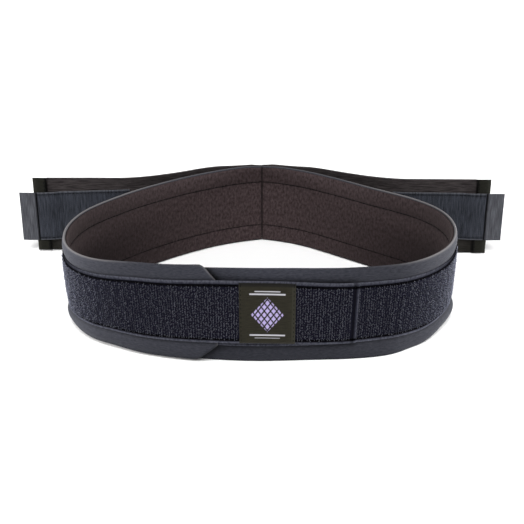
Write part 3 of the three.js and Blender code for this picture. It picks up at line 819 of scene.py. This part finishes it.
strap_places, strap_ends = {}, {}
for name, (rows, side, low, high) in STRAPS.items():
    place = strap_wall(side, arc_path((0.0, LOOP_DEPTH + STRAP_OUT), SEAM_TURN, rows, STRAP_LIFT))
    end = sum(row[0] for row in rows)
    hem_from = end - HEM_LENGTH
    along = steps(0.0, end, coarse=5.0, near=(hem_from,))
    strap_rows = steps(low, high, RIB_PITCH / 4)
    up = np.broadcast_to(strap_rows, (len(along), len(strap_rows)))
    hem = ease(along[:, None] - hem_from + HEM_ROUND)
    rib = RIB_DEPTH * np.cos(2 * np.pi * up / RIB_PITCH)
    # The back's own colour on the hem, and painted shade low on the face, darker toward the floor
    back = np.maximum(hem, STRAP_SHADE_MOST * ease(1 - up / STRAP_SHADE_BELOW))
    # Painted shadow along the hem's step
    hem_row = bell(along - hem_from - HEM_ROW, HEM_ROW_WIDE)[:, None]
    strap = band(f"{name}_strap", "elastic", along, up, rib - STRAP_THICK * hem, rib + STRAP_THICK, place,
                 elastic, back=back, sewn=hem_row)
    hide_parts(f"strap_{name}")
    strap_places[name], strap_ends[name] = place, end
    sewn_up = spaced(low, high, STRAP_ROW_ENDS)[:, None]
    strap_thread = stitches(f"{name}_seam_stitches", "elastic", np.array(SEWN_ON), STRAP_THICK, sewn_up,
                            place, upward=True)
    hem_thread = stitches(f"{name}_hem_stitches", "elastic", hem_from + HEM_STITCHES, -STRAP_THICK, sewn_up,
                          place, upward=True, facing=-1)

# Hook strips: a length of hook tape sewn across the front of each strap's end.
# It runs past the hem as a bare folded tab to pull the strap by.
STRIP_THICK = 1.0
STRIP_OFF_STRAP = 0.2
STRIP_ON_STRAP = 90.0
HEM_CLIMB = 16.0
TAB_LENGTH = 13.0
TAB_FROM, TAB_EDGE, TAB_FOLD = -2.8, 0.5, 0.5
TAB_SEAM_WIDE, TAB_SEAM_DEEP = 1.0, 0.8
TAB_ROW_ENDS = (2.0, 1.0)
STRIP_RIB_DEPTH = 0.12
STRIP_SELVAGE, STRIP_SELVAGE_FADE, STRIP_EDGE = 0.6, 0.7, 1.2
STRIP_ROW, EDGE_ROW_WIDE, EDGE_ROW_MOST = 2.2, 0.5, 0.55
STRIP_ROW_ENDS = (2.0, 2.0)
# Low and high edge of each strip, its slant over its length, and how much of its inner end has no hooks
STRIPS = {"left": (12.3, 59.5, 2.8, 3.0), "right": (14.8, 60.8, 0.4, 23.0)}
# The hooks are thicker and further apart than real ones, so that they show
HOOK_PITCH = 1.7
HOOK_RADIUS = 0.13
HOOK_MARGINS = (3.2, 3.0)
HOOK_PALE = 0.25
HOOK_SHAPE = np.array([(0.0, -0.1), (0.0, 0.35), (0.14, 0.62), (0.42, 0.66), (0.55, 0.42)])


def hooks(name, along, out, up, place):
    """Bent rods, one at each centre: a square section carried along the hook's five points, in the plane
    across the tape, set square to the way from the point before to the point after."""
    along, out, up = (np.ravel(v)[:, None, None] for v in np.broadcast_arrays(along, out, up))
    way = np.gradient(HOOK_SHAPE, axis=0)
    way = way / np.linalg.norm(way, axis=1)[:, None]
    turn = np.radians([45, 135, 225, 315])
    bent = np.where(np.round(along / HOOK_PITCH) % 2 > 0, 1, -1)
    aside = bent * HOOK_RADIUS * np.sin(turn) + np.zeros((len(HOOK_SHAPE), 1))
    lean = HOOK_SHAPE[:, :1] - way[:, 1:] * HOOK_RADIUS * np.cos(turn)
    rise = HOOK_SHAPE[:, 1:] + way[:, :1] * HOOK_RADIUS * np.cos(turn)
    along = along + aside
    return rods(name, "hook_tape", along, out - rise, up + bent * lean, place, hook_tape,
                bare=np.full(along.size, HOOK_PALE), sewn=np.zeros(along.size))


def over_hem(distance, end):
    """How far a strip stands off its strap's face: its gap, and an eased climb to the hem's thickness."""
    return STRIP_OFF_STRAP + STRAP_THICK * ease((distance - (end - HEM_LENGTH - HEM_CLIMB)) / HEM_CLIMB)


def slanted(distance, end, slant):
    """How far a strip has climbed toward its inner end, in proportion to the way from the strap's end."""
    return slant * np.clip((end - distance) / STRIP_ON_STRAP, 0, 1)


for name, (low, high, slant, unhooked) in STRIPS.items():
    place, end = strap_places[name], strap_ends[name]
    start, tab_from = end - STRIP_ON_STRAP, end + TAB_FROM
    along = steps(start, end + TAB_LENGTH, coarse=RIB_WIDE / 4)
    strip_rows = steps(low, high, coarse=2.2, near=(low + STRIP_EDGE, high - STRIP_EDGE), reach=STRIP_EDGE)
    up = np.broadcast_to(strip_rows, (len(along), len(strip_rows)))
    from_edge = np.minimum(up - low, high - up)
    rib = STRIP_RIB_DEPTH * np.cos(2 * np.pi * along / RIB_WIDE)[:, None]
    # Painted shade in the tab's pressed groove, along its stitch line
    seam = bell(along - end - TAB_FROM, TAB_SEAM_WIDE)[:, None]
    tab = ease((along - end - TAB_FROM) / TAB_EDGE)[:, None]
    selvage = 1 - ease((from_edge - STRIP_SELVAGE) / STRIP_SELVAGE_FADE)
    edge_row = EDGE_ROW_MOST * (1 - tab) * bell(from_edge - STRIP_ROW, EDGE_ROW_WIDE)
    outer = -over_hem(along, end)[:, None]
    inner = outer - STRIP_THICK - TAB_FOLD * tab + rib + TAB_SEAM_DEEP * seam
    strip = band(f"{name}_hook_strip", "hook_tape", along, up + slanted(along, end, slant)[:, None], inner,
                 outer, place, hook_tape, bare=np.maximum(selvage, tab), sewn=np.maximum(seam, edge_row))
    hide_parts(f"hook_strip_{name}")
    hook_along = spaced(start, tab_from, (unhooked, STRIP_ROW_ENDS[1]), HOOK_PITCH)[:, None]
    hook_up = spaced(low, high, HOOK_MARGINS, HOOK_PITCH)
    strip_hooks = hooks(f"{name}_hooks", hook_along, -over_hem(hook_along, end) - STRIP_THICK,
                        hook_up + slanted(hook_along, end, slant), place)
    tab_thread = stitches(f"{name}_tab_stitches", "hook_tape", tab_from, -over_hem(end, end) - STRIP_THICK,
                          spaced(low, high, TAB_ROW_ENDS), place, upward=True, facing=-1)
    row_along = spaced(start, tab_from, STRIP_ROW_ENDS)[:, None]
    row_up = np.array([low + STRIP_ROW, high - STRIP_ROW]) + slanted(row_along, end, slant)
    row_thread = stitches(f"{name}_strip_stitches", "hook_tape", row_along,
                          -over_hem(row_along, end) - STRIP_THICK, row_up, place, facing=-1)

# Floor: a plain flat white sheet of paper, matt, that runs out past the picture on every side.
# The belt stands on it on its lower edges, with nothing else round it.
FLOOR_HALF = 8.0
paper, tree, shader = finish("white_paper", {"Base Color": srgb("#ffffff"), "Roughness": 1.0,
                                             "Specular IOR Level": 0.0})
sides = np.linspace(-FLOOR_HALF, FLOOR_HALF, 3)
x, y = np.meshgrid(sides, sides, indexing="ij")
ground_mesh = bpy.data.meshes.new("floor")
ground_mesh.from_pydata(np.stack([x, y, np.zeros_like(x)], -1).reshape(-1, 3).tolist(), [],
                        cells(np.arange(x.size).reshape(x.shape)).tolist())
ground_mesh.materials.append(paper)
floor = bpy.data.objects.new("floor", ground_mesh)
bpy.context.scene.collection.objects.link(floor)

# Lights: a white studio whose walls are lit more than its ceiling, a broad soft light above and in front,
# and a soft box on each side. The share of the ceiling's light grows with the height above the horizon.
WALL_LIGHT, CEILING_LIGHT, CEILING_FROM = 1.0, 0.25, 0.4
world = bpy.data.worlds.new("white_studio")
world.use_nodes = True
tree = world.node_tree
direction = add(tree, "ShaderNodeTexCoord", {}).outputs["Generated"]
above = add(tree, "ShaderNodeSeparateXYZ", {0: direction}).outputs["Z"]
shade = add(tree, "ShaderNodeMapRange", {"Value": above, "From Min": 0.0, "From Max": CEILING_FROM,
                                         "To Min": WALL_LIGHT, "To Max": CEILING_LIGHT},
            interpolation_type="SMOOTHSTEP")
tree.links.new(shade.outputs[0], tree.nodes["Background"].inputs["Strength"])
tree.nodes["Background"].inputs["Color"].default_value = (1, 1, 1, 1)
bpy.context.scene.world = world
BOX_HIGH = 0.22
# Each light: name, kind, place, the point that it faces, its side in metres or spread in degrees, its power
LIGHTS = [
    ("sky_panel", "SUN", (-0.1, -1.5, 2.0), (0.0, 0.0, 0.0), 34.0, 3.3),
    ("box_left", "AREA", (-1.2, 0.03, 0.13), (0.0, 0.0, 0.05), 0.7, 27.0),
    ("box_right", "AREA", (1.2, 0.08, 0.13), (0.0, 0.0, 0.05), 0.7, 32.0),
]
for name, kind, place, facing, size, power in LIGHTS:
    lamp = bpy.data.lights.new(name, kind)
    lamp.energy = power
    if kind == "SUN":
        lamp.angle = np.radians(size)
    else:
        lamp.shape, lamp.size, lamp.size_y = "RECTANGLE", size, BOX_HIGH
    light = bpy.data.objects.new(name, lamp)
    light.location = place
    toward = Vector(facing) - Vector(place)
    light.rotation_euler = toward.to_track_quat("-Z", "Y").to_euler()
    bpy.context.scene.collection.objects.link(light)

# Camera: square to the front, above it and looking down, as far off as the picture's perspective says.
# The focal length is given in pixels of a picture 524 pixels wide.
SENSOR = 36.0
PICTURE = 524.0
FOCAL_PIXELS = 1000.0
CAMERA_PLACE = (0.0, -0.7846, 0.3637)
CAMERA_PITCH = 23.05
lens = bpy.data.cameras.new("camera")
lens.sensor_width = SENSOR
lens.lens = SENSOR * FOCAL_PIXELS / PICTURE
lens.clip_start, lens.clip_end = 0.01, 50.0
camera = bpy.data.objects.new("camera", lens)
camera.location = CAMERA_PLACE
camera.rotation_euler = (np.radians(90.0 - CAMERA_PITCH), 0.0, 0.0)
bpy.context.scene.collection.objects.link(camera)
bpy.context.scene.camera = camera
bpy.context.scene.view_settings.view_transform = "Standard"
